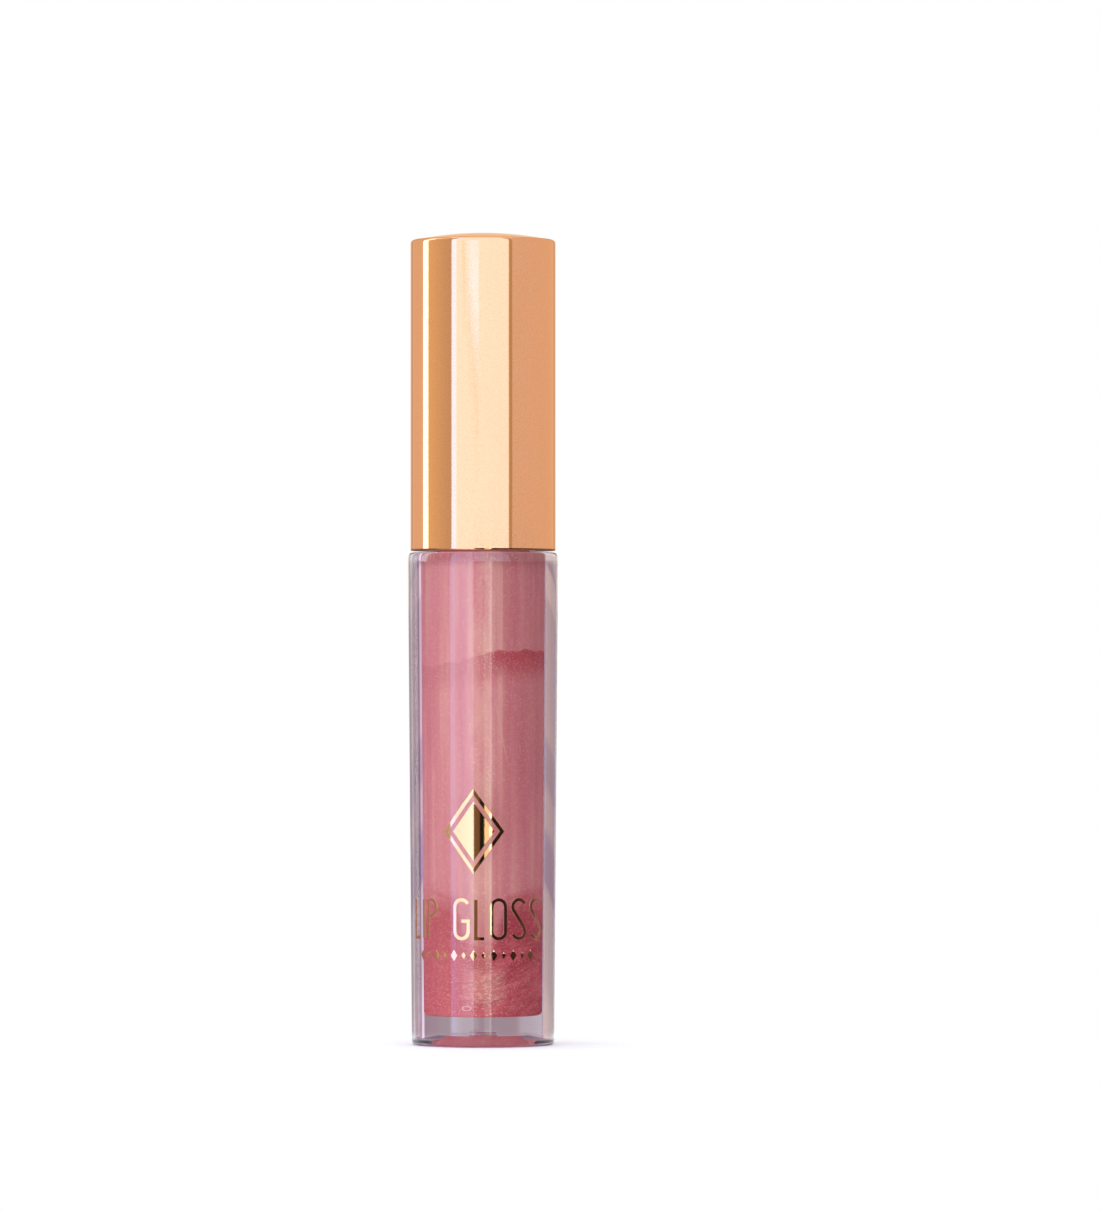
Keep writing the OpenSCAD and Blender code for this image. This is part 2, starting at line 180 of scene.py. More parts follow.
def noise(tree, place, scale, detail, **more):
    """Values about 0.5 that drift softly from place to place."""
    return add(tree, "TexNoise", {"Vector": place, "Scale": scale, "Detail": detail, **more}).outputs[0]


def tint(tree, share, a, b, mode="MIX"):
    """Mixes colour b into colour a by a share from 0 to 1."""
    a, b = (c if isinstance(c, bpy.types.NodeSocket) else (*c, 1) for c in (a, b))
    return add(tree, "Mix", {0: share, 6: a, 7: b}, data_type="RGBA", blend_type=mode).outputs[2]


def lay(tree, colour, tone, *shares):
    """Lays a tone over a colour, by the product of the shares."""
    return tint(tree, times(tree, *shares), colour, tone)


def brighten(tree, colour, factor):
    """A colour times a number, which may take it past 1."""
    return add(tree, "VectorMath", {0: colour, "Scale": factor}, operation="SCALE").outputs[0]


def ramp(tree, value, stops):
    """A colour for each value from 0 to 1, through stops of (value, colour)."""
    made = add(tree, "ValToRGB", {0: value})
    while len(made.color_ramp.elements) < len(stops):
        made.color_ramp.elements.new(0.5)
    for element, (at, colour) in zip(made.color_ramp.elements, stops):
        element.position = at
        element.color = (*colour, 1)
    return made.outputs[0]


# %% [markdown]
# ## Studio light
# A mirror shows nothing but its surroundings, so the cap and the foil are only as good as the studio around
# them. Real tubes are shot inside a tent of white cards, soft boxes and black flags. Here the world is that
# tent: its brightness depends on direction, in upright bands, with one set of bands low down, which the bottle
# mirrors, and another higher up, which the cap mirrors. Light that has only passed through the clear plastic
# comes from a mauve card behind the tube. Light that scatters from a matt surface comes from a smoother
# version of the same studio, and the camera itself sees a plain white backdrop.

# %% Bands of brightness round the tube, by angle from the camera's side, in degrees to the right
BRIGHTEST = 5.0  # no band is brighter, so that each fits a colour ramp once it is divided by this
cap_bands = [  # (from, to, colour at from, colour at to)
    (-180, -160, (0.95, 0.82, 0.62), (0.95, 0.82, 0.62)),
    (-160, -152, (0.6, 0.55, 0.5), (0.6, 0.55, 0.5)),
    (-152, -110, (0.92, 0.88, 0.85), (1.0, 0.97, 0.92)),
    (-110, -97.5, (3.4, 4.2, 5.0), (3.4, 4.2, 5.0)),
    (-97.5, -51, (1.02, 0.94, 0.66), (0.74, 0.69, 0.6)),
    (-51, -43, (1.3, 2.4, 4.6), (1.3, 2.4, 4.6)),
    (-43, 41, (1.8, 2.1, 2.85), (1.7, 2.02, 2.7)),
    (41, 47.5, (0.62, 0.6, 0.42), (0.62, 0.6, 0.42)),
    (47.5, 152, (0.95, 0.92, 0.94), (0.98, 0.92, 0.86)),
    (152, 160, (0.6, 0.55, 0.5), (0.6, 0.55, 0.5)),
    (160, 180, (0.95, 0.82, 0.62), (0.95, 0.82, 0.62)),
]
bottle_bands = [
    (-180, -79, (0.39, 0.27, 0.32), (0.44, 0.33, 0.34)),
    (-79, -53, (0.6, 0.62, 0.46), (0.6, 0.62, 0.46)),
    (-53, -44, (1.3, 1.8, 3.5), (1.3, 1.8, 3.5)),
    (-44, -14.5, (1.5, 1.7, 2.0), (1.7, 2.0, 2.5)),
    (-14.5, -5.4, (0.24, 0.17, 0.1), (0.2, 0.14, 0.08)),
    (-5.4, 2.3, (0.02, 0.02, 0.02), (0.02, 0.02, 0.02)),
    (2.3, 10, (1.25, 1.27, 0.97), (1.25, 1.27, 0.97)),
    (10, 13.5, (2.8, 2.8, 2.8), (2.8, 2.8, 2.8)),
    (13.5, 60, (0.03, 0.018, 0.02), (0.06, 0.035, 0.035)),
    (60, 90, (0.08, 0.05, 0.055), (0.15, 0.11, 0.12)),
    (90, 180, (0.3, 0.22, 0.26), (0.39, 0.27, 0.32)),
]
# the mauve card, as light that has passed the plastic meets it; round the front no such light arrives
through_bands = [
    (-180, -160, (0.28, 0.185, 0.23), (0.28, 0.185, 0.225)),
    (-160, -133, (0.3, 0.2, 0.235), (0.33, 0.235, 0.265)),
    (-133, -129.8, (0.3, 0.165, 0.21), (0.3, 0.165, 0.21)),
    (-129.8, -127, (0.47, 0.3, 0.31), (0.47, 0.3, 0.31)),
    (-127, -120, (0.52, 0.35, 0.34), (0.52, 0.35, 0.34)),
    (-120, -79, (0.45, 0.32, 0.345), (0.6, 0.5, 0.51)),
    (79, 110, (0.65, 0.6, 0.68), (0.5, 0.4, 0.48)),
    (110, 117, (0.27, 0.165, 0.26), (0.24, 0.125, 0.21)),
    (117, 124, (0.18, 0.07, 0.12), (0.18, 0.07, 0.12)),
    (124, 129, (0.33, 0.19, 0.27), (0.33, 0.19, 0.27)),
    (129, 133, (0.72, 0.53, 0.68), (0.72, 0.53, 0.68)),
    (133, 160, (0.26, 0.165, 0.21), (0.28, 0.19, 0.23)),
    (160, 180, (0.28, 0.185, 0.23), (0.28, 0.185, 0.23)),
]
through_heights = [  # (elevation in degrees, how the light through the plastic changes there)
    (-3.0, (1.35, 1.5, 1.42)), (-1.8, (1.35, 1.5, 1.42)), (-1.6, (1.1, 1.2, 1.15)), (-0.93, (1.0, 1.05, 1.03)),
    (-0.87, (0.67, 0.63, 0.82)), (-0.55, (0.7, 0.66, 0.84)), (-0.42, (1.0, 1.0, 0.98)), (-0.2, (1.0, 1.0, 0.98)),
    (-0.1, (0.76, 0.74, 0.84)), (0.18, (0.82, 0.82, 0.9)), (0.25, (1.06, 1.06, 1.04)), (0.5, (1.0, 1.0, 1.0)),
    (1.25, (0.95, 0.95, 0.95)), (1.3, (1.22, 1.28, 1.16)), (1.5, (1.22, 1.28, 1.16)), (1.55, (0.68, 0.62, 0.76)),
    (3.0, (0.68, 0.62, 0.76)),
]
soft_bands = [
    (-180, -110, (0.8, 0.8, 0.85), (1.2, 1.2, 1.3)),
    (-110, -20, (1.75, 1.78, 2.0), (2.2, 2.22, 2.4)),
    (-20, 60, (2.15, 2.15, 2.15), (0.62, 0.6, 0.6)),
    (60, 180, (0.55, 0.55, 0.55), (0.8, 0.8, 0.85)),
]


def studio(tree, share, bands, soft=0.35):
    """The bands as one colour ramp over the full turn; each edge is a short slope, twice `soft` degrees wide."""
    stops = []
    for start, end, first, last in bands:
        for at, colour in ((start + soft, first), (end - soft, last)):
            stops.append((at / 360 + 0.5, tuple(c / BRIGHTEST for c in colour)))
    return ramp(tree, share, stops)


# %% The world's directions
world = bpy.data.worlds.new("studio")
world.use_nodes = True
scene.world = world
sky = world.node_tree
sky.nodes.clear()
toward = add(sky, "TexCoord").outputs["Generated"]
turned = add(sky, "Mapping", {"Vector": toward, "Rotation": (0, 0, -view_turn)}).outputs[0]
right, back, up = add(sky, "SeparateXYZ", {0: turned}).outputs
around = calc(sky, "ARCTAN2", right, times(sky, back, -1.0))
degrees = times(sky, around, 180 / math.pi)
share = plus(sky, calc(sky, "DIVIDE", around, 2 * math.pi), 0.5)
height = times(sky, calc(sky, "ARCSINE", up), 180 / math.pi)

# %% The cap's soft box, with a long crease in its cloth and beside it a patch where the lamp shows
high_light = studio(sky, share, cap_bands)
slack = noise(sky, add(sky, "CombineXYZ", {2: height}).outputs[0], 9.0, 3.0)
crease = plus(sky, degrees, times(sky, height, 20.7), -33.5, times(sky, plus(sky, slack, -0.5), 6.0))
crease_run = times(sky, rise(sky, height, 1.95, 2.02), rise(sky, height, 3.3, 3.22))
crease_width = rise(sky, calc(sky, "ABSOLUTE", crease), 1.9, 1.0)
high_light = lay(sky, high_light, (0.15, 0.21, 0.0), crease_run, crease_width)
patch_run = times(sky, rise(sky, height, 2.1, 2.8), rise(sky, height, 3.35, 3.2))
patch_width = times(sky, rise(sky, crease, 1.0, 3.0), rise(sky, degrees, -5.0, -9.0))
high_light = lay(sky, high_light, (0.4, 0.49, 0.86), patch_width, patch_run)

# %% The low tier, the high tier, and the ceiling
path = add(sky, "LightPath").outputs
entered = calc(sky, "GREATER_THAN", path["Transmission Depth"], 0.5)
is_high = times(sky, rise(sky, height, 0.3, 0.5), calc(sky, "SUBTRACT", 1.0, entered))
tiers = tint(sky, is_high, studio(sky, share, bottle_bands), high_light)
tiers = tint(sky, rise(sky, height, 55, 75), tiers, (0.28, 0.28, 0.28))

# %% The mauve card, which shows where light has passed the plastic without a mirror's bounce, or steeply
CARD_MOST, CARD_REACH = 2.0, 3.0  # the greatest change of colour, and the degrees up and down that are listed
stops = [((at / CARD_REACH + 1) / 2, tuple(c / CARD_MOST for c in change)) for at, change in through_heights]
level = times(sky, plus(sky, height, CARD_REACH), 0.5 / CARD_REACH)
card = tint(sky, 1.0, studio(sky, share, through_bands), ramp(sky, level, stops), mode="MULTIPLY")
bounced = calc(sky, "GREATER_THAN", path["Glossy Depth"], 0.5)
steep = rise(sky, calc(sky, "ABSOLUTE", height), 6, 10)
straight = times(sky, entered, calc(sky, "MAXIMUM", calc(sky, "SUBTRACT", 1.0, bounced), steep))
tiers = tint(sky, straight, tiers, brighten(sky, card, CARD_MOST))

# %% The world's output
mirrored = brighten(sky, tiers, BRIGHTEST)
smooth = tint(sky, rise(sky, height, 20, 45), studio(sky, share, soft_bands), (0.26, 0.26, 0.26))
is_matt = calc(sky, "GREATER_THAN", path["Diffuse Depth"], 0.5)
light = tint(sky, is_matt, mirrored, brighten(sky, smooth, BRIGHTEST))
light = tint(sky, path["Is Camera Ray"], light, (1, 1, 1))
backdrop = add(sky, "Background", {"Color": light, "Strength": 1.0})
add(sky, "OutputWorld", {"Surface": backdrop.outputs[0]})
print("studio bands:", len(cap_bands), "for the cap,", len(bottle_bands), "for the bottle")

# %% [markdown]
# ## Mesh helpers
# Nearly everything on this tube is turned: a flat profile swept round the upright axis. The profile is a
# line of (radius, height) points, and its corners are rounded because a moulded edge is never sharp and its
# highlight is what makes it look real. The swept points form a grid with a row for each profile point and a
# column for each angle, so the whole surface is one array.


# %% Profiles
def rounded(corners, steps=5):
    """A profile through corners (radius, height, edge): a corner with an edge radius e is cut back on both
    sides by e / tan(half the corner's angle), and an arc of radius e bridges the cut."""
    points = np.array([c[:2] for c in corners], float)
    profile = [points[0]]
    for before, here, after, corner in zip(points, points[1:], points[2:], corners[1:]):
        edge = corner[2] if len(corner) > 2 else 0
        to_a, to_b = before - here, after - here
        room = min(np.hypot(*to_a), np.hypot(*to_b))
        to_a, to_b = to_a / np.hypot(*to_a), to_b / np.hypot(*to_b)
        half = math.acos(np.clip(to_a @ to_b, -1, 1)) / 2
        if edge <= 0 or half > math.pi / 2 - 0.01:
            profile.append(here)
            continue
        edge = min(edge, 0.48 * room * math.tan(half))
        middle = here + (to_a + to_b) / np.hypot(*(to_a + to_b)) * edge / math.sin(half)
        start = here + to_a * edge / math.tan(half) - middle
        end = here + to_b * edge / math.tan(half) - middle
        sweep = math.pi - 2 * half
        s = np.linspace(0, 1, steps + 1)[:, None]
        profile.extend(middle + (np.sin((1 - s) * sweep) * start + np.sin(s * sweep) * end) / math.sin(sweep))
    profile.append(points[-1])
    return np.array(profile)


def fine(profile, step=1.5, hold=0.04):
    """Adds rows along a profile's straight parts: one `hold` from each end, so that shading stays flat up to
    the corner, and the rest at most `step` apart."""
    rows = [profile[:1]]
    for a, b in zip(profile[:-1], profile[1:]):
        length = np.hypot(*(b - a))
        if length > 3 * hold:
            count = max(2, math.ceil((length - 2 * hold) / step) + 1)
            rows.append(a + np.linspace(hold, length - hold, count)[:, None] / length * (b - a))
        rows.append(b[None])
    return np.concatenate(rows)


def turned_grid(profile, columns=192):
    """The grid of a turned surface: row i, column j is (r cos t, r sin t, z) for profile point i, angle t of j."""
    t = np.arange(columns) / columns * 2 * math.pi
    r, z = profile[:, :1], profile[:, 1:]
    return np.stack([r * np.cos(t), r * np.sin(t), z + 0 * t], -1)


def push_radially(grid, amount):
    """Moves every grid point away from the Z axis by its own amount."""
    radius = np.hypot(grid[..., 0], grid[..., 1])
    scale = (radius + amount) / np.maximum(radius, 1e-9)
    grid[..., 0] *= scale
    grid[..., 1] *= scale
    return grid


# %% Skins: from grids to meshes
def skin_faces(grid, ring=False):
    """The points and faces of a grid that is joined round its columns. A first or last row that has shrunk to
    a point becomes one shared vertex with a fan of triangles. A ring is joined from last row to first too."""
    columns = grid.shape[1]
    start_pole = not ring and np.ptp(grid[0], axis=0).max() < 1e-7
    end_pole = not ring and np.ptp(grid[-1], axis=0).max() < 1e-7
    body = grid[int(start_pole) : len(grid) - int(end_pole)]
    points = body.reshape(-1, 3)
    index = np.arange(len(points)).reshape(-1, columns)
    if ring:
        index = np.vstack([index, index[:1]])
    after = np.roll(index, -1, axis=1)
    faces = np.stack([index[:-1], after[:-1], after[1:], index[1:]], -1).reshape(-1, 4).tolist()
    if start_pole:
        pole = np.full(columns, len(points))
        points = np.vstack([points, grid[0, :1]])
        faces += np.stack([pole, after[0], index[0]], -1).tolist()
    if end_pole:
        pole = np.full(columns, len(points))
        points = np.vstack([points, grid[-1, :1]])
        faces += np.stack([index[-1], after[-1], pole], -1).tolist()
    return points, faces


def make_piece(name, skins, body, node, finishes, sharp=None):
    """One object from one or more skins in millimetres. It rides its CAD body and stands for its CAD node."""
    points, faces, count = [], [], 0
    for some_points, some_faces in skins:
        points.append(some_points)
        faces += [[v + count for v in face] for face in some_faces] if count else some_faces
        count += len(some_points)
    mesh = bpy.data.meshes.new(name)
    mesh.from_pydata((np.concatenate(points) * 0.001).tolist(), [], faces)
    mesh.polygons.foreach_set("use_smooth", np.ones(len(faces), bool))
    if sharp is not None:
        mesh.set_sharp_from_angle(angle=math.radians(sharp))
    for finish in finishes:
        mesh.materials.append(finish)
    mesh.update()
    piece = bpy.data.objects.new(name, mesh)
    scene.collection.objects.link(piece)
    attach(piece, body)
    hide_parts(node)
    print(f"{name}: {len(mesh.vertices)} points, {len(mesh.polygons)} faces")
    return piece


def new_finish(name):
    """An empty material with one Principled shader; returns the material, its tree and the shader."""
    finish = bpy.data.materials.new(name)
    finish.use_nodes = True
    tree = finish.node_tree
    tree.nodes.clear()
    shader = add(tree, "BsdfPrincipled")
    add(tree, "OutputMaterial", {"Surface": shader.outputs[0]})
    return finish, tree, shader


def in_mm(tree, turn=0.0):
    """The object's own coordinates in millimetres, turned about the axis."""
    place = add(tree, "TexCoord").outputs["Object"]
    sockets = {"Vector": place, "Rotation": (0, 0, turn), "Scale": (1000, 1000, 1000)}
    return add(tree, "Mapping", sockets).outputs[0]


# %% [markdown]
# ## Floor
# The tube stands on a plain white sweep. A disc is enough: near the tube it takes the tube's soft shadow, and
# towards its rim it turns into pure white, so that no edge shows against the backdrop. Light that has passed
# through the plastic doesn't meet the floor, so the bottle's base shows the mauve card and not a white glare.

# %% Floor
floor_finish, tree, shader = new_finish("sweep")
fill(tree, shader, {"Base Color": (0.88, 0.88, 0.885, 1), "Roughness": 0.6, "Specular IOR Level": 0.2})
right, back, up = add(tree, "SeparateXYZ", {0: in_mm(tree)}).outputs
path = add(tree, "LightPath").outputs
white = add(tree, "Emission", {"Color": (1, 1, 1, 1), "Strength": 1.0}).outputs[0]
nothing = add(tree, "BsdfTransparent").outputs[0]
beyond = add(tree, "MixShader", {0: path["Is Camera Ray"], 1: nothing, 2: white}).outputs[0]
passed = calc(tree, "GREATER_THAN", path["Transmission Depth"], 0.5)
fade = calc(tree, "MAXIMUM", rise(tree, distance(tree, right, back), 16, 40), passed)
faded = add(tree, "MixShader", {0: fade, 1: shader.outputs[0], 2: beyond}).outputs[0]
fill(tree, tree.get_output_node("ALL"), {"Surface": faded})

disc = turned_grid(np.array([[0.0, -0.03], [20.0, -0.03], [60.0, -0.03], [120.0, -0.03]]), 96)[::-1]
floor_points, floor_faces = skin_faces(disc)
floor_mesh = bpy.data.meshes.new("floor")
floor_mesh.from_pydata((floor_points * 0.001).tolist(), [], floor_faces)
floor_mesh.materials.append(floor_finish)
floor = bpy.data.objects.new("floor", floor_mesh)
scene.collection.objects.link(floor)
print("floor radius:", round(float(floor_points[:, 0].max())), "mm")

# %% [markdown]
# ## Clear plastic
# The bottle is moulded in a clear, glass-like plastic with a high refractive index, which is why the gloss
# inside looks almost as wide as the bottle. Moulded clear plastic is nearly perfect: a trace of colour, and
# faint wipe marks that show only in the roughness.

# %% Clear plastic finish
clear_finish, tree, shader = new_finish("clear_plastic")
smudge = noise(tree, in_mm(tree), 0.35, 3.0, Roughness=0.6)
haze = tint(tree, smudge, (0.965, 0.945, 0.965), (0.985, 0.97, 0.985))
wiped = times(tree, rise(tree, smudge, 0.45, 0.8), 0.03)
fill(tree, shader, {"Base Color": haze, "Roughness": wiped, "IOR": 1.57, "Transmission Weight": 1.0})

# %% [markdown]
# ## Bottle
# One closed skin makes the bottle: from the gate's nub in its dimple, over the hollow underside, up the
# leaning wall, over the shoulder, up the threaded neck, over the rim and down the cavity to its floor. Being
# closed matters, because light has to enter and leave the plastic for it to bend.


# %% The thread's ridge
THREAD_DEPTH, THREAD_LEAD = 0.8, 6.0  # how far the ridge stands out, and how far it climbs in a turn


def thread_ridge(angle, z, start_z):
    """How far a two-start thread stands out at each angle (degrees) and height. Each start climbs its lead in a
    turn and runs through 300 degrees; its section is a trapezoid, 1.2 mm at the root and 0.7 mm at the crest,
    with softened edges, and it fades in and out over 30 degrees."""
    height = np.zeros(np.broadcast(angle, z).shape)
    for first in (0, 180):
        run = (angle - first) % 360
        fade = np.clip(np.minimum(run, 300 - run) / 30, 0, 1)
        off = np.abs(z - start_z - THREAD_LEAD * run / 360)
        slope = np.clip((0.6 - off) / 0.25, 0, 1)
        height = np.maximum(height, THREAD_DEPTH * fade * slope * slope * (3 - 2 * slope))
    return height


def columns_deg(columns):
    """The angle of every column of a turned grid, in degrees."""
    return np.arange(columns)[None, :] * 360 / columns


def with_rows(profile, chosen, radius, heights):
    """Swaps the chosen run of a profile, but for its first point, for rows at one radius and the given heights,
    so that a thread has enough rows to stand on."""
    first, last = np.flatnonzero(chosen)[[0, -1]]
    straight = np.stack([np.full(len(heights), radius), heights], 1)
    return np.concatenate([profile[: first + 1], straight, profile[last + 1 :]])


# %% Bottle profile
bend_h = 1.1  # the height of the curve at the shoulder, which draws in by 0.299 mm
foot_r = shoulder_r - (shoulder_z - bend_h) * lean
turn = np.radians(np.linspace(0, 90, 9))
bend_r, bend_z = shoulder_r - 0.299 * (1 - np.cos(turn)), shoulder_z - bend_h * (1 - np.sin(turn))
hollow_r, hollow_z = 6.5375, 1.2  # the hollow under the foot: its radius at the floor, and its flat disc's height
gate_z = hollow_z + 0.4
cavity_low_r, cavity_low_z = cavity_r - 0.231, 3.5
foot = rounded([
    (0, gate_z - 0.25), (0.4, gate_z - 0.25, 0.12), (0.4, gate_z, 0.1), (1.05, gate_z, 0.12), (1.05, hollow_z, 0.1),
    (hollow_r - 3.1, hollow_z, 0.35), (hollow_r, 0.0, 0.15), (foot_r, 0.0, 0.35), (shoulder_r, shoulder_z - bend_h)])
bend = np.stack([bend_r, bend_z], 1)[:-1]
neck = rounded([
    (bend_r[-1], shoulder_z), (neck_r, shoulder_z, 0.15), (neck_r, rim_z, 0.3), (cavity_r, rim_z, 0.1),
    (cavity_r, rim_z - 3.25), (cavity_r + 0.2, rim_z - 3.6), (cavity_r + 0.2, rim_z - 3.9), (cavity_r, rim_z - 4.25),
    (cavity_r, shoulder_z), (cavity_low_r, cavity_low_z, 0.5), (0, cavity_low_z)])
bottle_profile = fine(np.concatenate([foot[:-1], bend, neck]))
on_neck = np.isclose(bottle_profile[:, 0], neck_r) & (bottle_profile[:, 1] < rim_z - 1)
bottle_profile = with_rows(bottle_profile, on_neck, neck_r, np.arange(shoulder_z + 0.2, rim_z - 0.5, 0.07))
print("bottle profile:", len(bottle_profile), "points")

# %% Bottle mesh
bottle_grid = turned_grid(bottle_profile, 240)
outside = np.isclose(np.hypot(bottle_grid[..., 0], bottle_grid[..., 1]), neck_r)
ridge = thread_ridge(columns_deg(240), bottle_grid[..., 2], shoulder_z + 4.0)
push_radially(bottle_grid, np.where(outside, ridge, 0))
make_piece("bottle_clear", [skin_faces(bottle_grid)], "bottle", "bottle", [clear_finish])

# %% [markdown]
# ## Gloss finish
# The gloss is thick, milky pink and full of fine mica that shines gold. In the bottle it shows three things:
# a thin film clinging to the wall above the filling line, long upright streaks of pearl where the wand has
# dragged it, and darker, folded swirls at the bottom, where the product has been stirred and poured.

# %% Gloss tones, and the streaks
gloss_finish, tree, shader = new_finish("pearl_gloss")
place = in_mm(tree, -view_turn)
x, y, z = add(tree, "SeparateXYZ", {0: place}).outputs  # x to the camera's right, and y away from it
facing = times(tree, calc(tree, "ARCTAN2", x, times(tree, y, -1.0)), 180 / math.pi)

pink, pearl = (0.82, 0.285, 0.33), (0.98, 0.57, 0.47)
rose, red, deep = (0.60, 0.13, 0.165), (0.66, 0.085, 0.135), (0.46, 0.03, 0.07)
streaks = noise(tree, stretched(tree, place, (0.9, 0.9, 0.035)), 1.0, 4.0, Roughness=0.55)
colour = lay(tree, pink, pearl, rise(tree, streaks, 0.42, 0.72), 0.4)
colour = lay(tree, colour, rose, rise(tree, streaks, 0.46, 0.25), 0.3)

# %% Painted highlight on the front: a broad pearly glow, with one brighter upright strip to its right, and painted shade beyond that strip
patches = noise(tree, stretched(tree, place, (0.6, 0.6, 0.12), (3, 0, 5)), 1.0, 3.0)
# painted highlight: from 24 degrees left to 21 degrees right of the camera's side, the front is painted pearl in
# patches
painted_glow = times(tree, rise(tree, facing, -24, -10), rise(tree, facing, 21, 7), rise(tree, patches, 0.25, 0.6))
colour = lay(tree, colour, pearl, painted_glow, 0.62)
# painted highlight: an upright strip from 17.6 to 24.1 degrees right of the camera's side, painted pearl above height
# 28
colour = lay(tree, colour, pearl, between(tree, facing, 17.6, 24.1, 0.5), rise(tree, z, 28, 40), 0.3)
# painted shade: beyond 24 degrees right of the camera's side the gloss is painted darker rose above height 22
colour = lay(tree, colour, rose, rise(tree, facing, 23.9, 24.8), rise(tree, z, 22, 34), 0.3)

# %% The filling line leans to one side; the fluid just below it is redder, most of all on the right
wobble = noise(tree, stretched(tree, place, (0.5, 0.5, 0.2)), 1.0, 2.0)
line = plus(tree, calc(tree, "MINIMUM", times(tree, x, 0.3), 0.45), times(tree, wobble, 1.2), fill_z - 0.2)
below = calc(tree, "SUBTRACT", line, z)
edge = times(tree, rise(tree, below, -0.1, 0.2), rise(tree, below, 4.6, 0.6))
colour = lay(tree, colour, rose, edge, 0.3)
colour = lay(tree, colour, (0.58, 0.06, 0.1), edge, rise(tree, x, -0.9, 1.9), 0.85)

# painted shade: the film on the wall is painted darker under the shoulder
colour = lay(tree, colour, deep, rise(tree, z, 56.6, 58.6), 0.6)

# a thin pearly line that the wand has drawn, leaning through x = 1.2 at height 41
drawn = plus(tree, x, -1.2, times(tree, plus(tree, z, -41.0), 0.16))
drawn = times(tree, rise(tree, calc(tree, "ABSOLUTE", drawn), 0.14, 0.02), between(tree, z, 34, 40.5, 1.5))
colour = lay(tree, colour, pearl, drawn, 0.35)

# %% The lower part is folded: a deep rose mass, darker to the right, with thin pearly arcs that sweep up
bow = times(tree, calc(tree, "POWER", plus(tree, x, 1.8), 2.0), -0.055)
folded = add(tree, "CombineXYZ", {0: times(tree, x, 0.3), 1: times(tree, y, 0.3), 2: plus(tree, z, bow)}).outputs[0]
swirl = noise(tree, folded, 0.55, 5.0, Roughness=0.55, Distortion=0.8)
mass_top = times(tree, rise(tree, calc(tree, "ABSOLUTE", plus(tree, x, 0.2)), 0.8, 2.9), 6.0)
mass_top = plus(tree, mass_top, 11.5, times(tree, plus(tree, swirl, -0.5), 9.0))
mass = rise(tree, calc(tree, "SUBTRACT", mass_top, z), -2.2, 2.4)
colour = lay(tree, colour, red, mass, 0.9)
colour = lay(tree, colour, deep, mass, rise(tree, swirl, 0.6, 0.4), rise(tree, x, -4.5, 1.5), 0.75)
fine_fold = noise(tree, stretched(tree, folded, (0.5, 0.5, 1.0)), 2.6, 2.0, Distortion=0.5)
arcs = rise(tree, calc(tree, "ABSOLUTE", plus(tree, fine_fold, -0.5)), 0.045, 0.0)
pearly = times(tree, between(tree, x, -1.6, 1.9, 0.8), between(tree, z, 5.2, 9.0, 1.2))
arc_share = plus(tree, times(tree, pearly, 0.5), 0.1)
colour = lay(tree, colour, pearl, arcs, rise(tree, z, 15, 10), arc_share)
colour = lay(tree, colour, pearl, pearly, 0.3)

# one bubble has stuck to the wall near the floor; its bright ring, a little wider than it is tall, is a painted
# highlight
from_bubble = distance(tree, plus(tree, x, 1.6), times(tree, plus(tree, z, -4.55), math.sqrt(2.2)))
bubble = times(tree, between(tree, from_bubble, 0.36, 0.44, 0.06), rise(tree, y, 0.0, -1.0))
colour = lay(tree, colour, (1.0, 0.75, 0.7), bubble, 0.9)

# %% Mica: tiny cells, each with its own brightness, and a few that shine gold
cells = add(tree, "TexVoronoi", {"Vector": place, "Scale": 9.0}, feature="F1").outputs["Color"]
bright, golden, satin = list(add(tree, "SeparateColor", {0: cells}).outputs)[:3]
colour = lay(tree, colour, (0.95, 0.6, 0.5), bright, 0.13)
# the gold specks are the mica's own colour, and they are painted stronger inside the painted highlight at the front, as
# painted glints
gold_and_glint_share = plus(tree, times(tree, painted_glow, 0.35), 0.25)
colour = lay(tree, colour, (1.0, 0.78, 0.58), rise(tree, golden, 0.84, 0.95), gold_and_glint_share)
fill(tree, shader, {"Base Color": colour, "Roughness": plus(tree, times(tree, satin, -0.15), 0.5)})
fill(tree, shader, {"Metallic": 0.3, "Specular IOR Level": 0.0, "Specular Tint": (0.85, 0.45, 0.45, 1)})
print("gloss finish:", len(tree.nodes), "nodes")

# %% [markdown]
# ## Gloss
# The gloss fills the cavity and wets its wall. A gap between fluid and plastic would act as a mirror, so the
# gloss overlaps the wall by a hundredth of a millimetre or two, and light passes straight from one to the
# other. The wand passes down the middle, so the fluid keeps a channel round it.

# %% Gloss mesh
wet = 0.02
channel_r, film_r = 2.4, cavity_r - 0.25
gloss_profile = fine(rounded([
    (0, gloss_low - wet), (cavity_low_r + wet, gloss_low - wet, 0.5), (cavity_r + wet, shoulder_z),
    (cavity_r + wet, film_z, 0.1), (film_r, film_z, 0.1), (film_r, fill_z + 0.8, 0.5), (3.9, fill_z, 0.8),
    (channel_r, fill_z, 0.3), (channel_r, tip_z - 0.3, 0.4), (0, tip_z - 0.3)]), step=0.35)
gloss_grid = turned_grid(gloss_profile, 192)
r, z = np.hypot(gloss_grid[..., 0], gloss_grid[..., 1]), gloss_grid[..., 2]
sideways = gloss_grid[..., 0] * view_right[0] + gloss_grid[..., 1] * view_right[1]
leaning = np.clip(1 - (z - fill_z - 1) / 3, 0, 1) * np.clip((z - fill_z + 3) / 3, 0, 1)
gloss_grid[..., 2] += 0.234 * sideways * np.where(r < cavity_r - 0.2, leaning, 0)
make_piece("gloss_fill", [skin_faces(gloss_grid)], "bottle", "gloss", [gloss_finish])

# %% [markdown]
# ## Foil
# The decorations are hot-stamped: a die presses a 30 micron film of pale gold metal on the wall. The foil
# follows the wall's curve exactly, so it mirrors the same upright bands as the plastic beside it, only far
# more strongly.

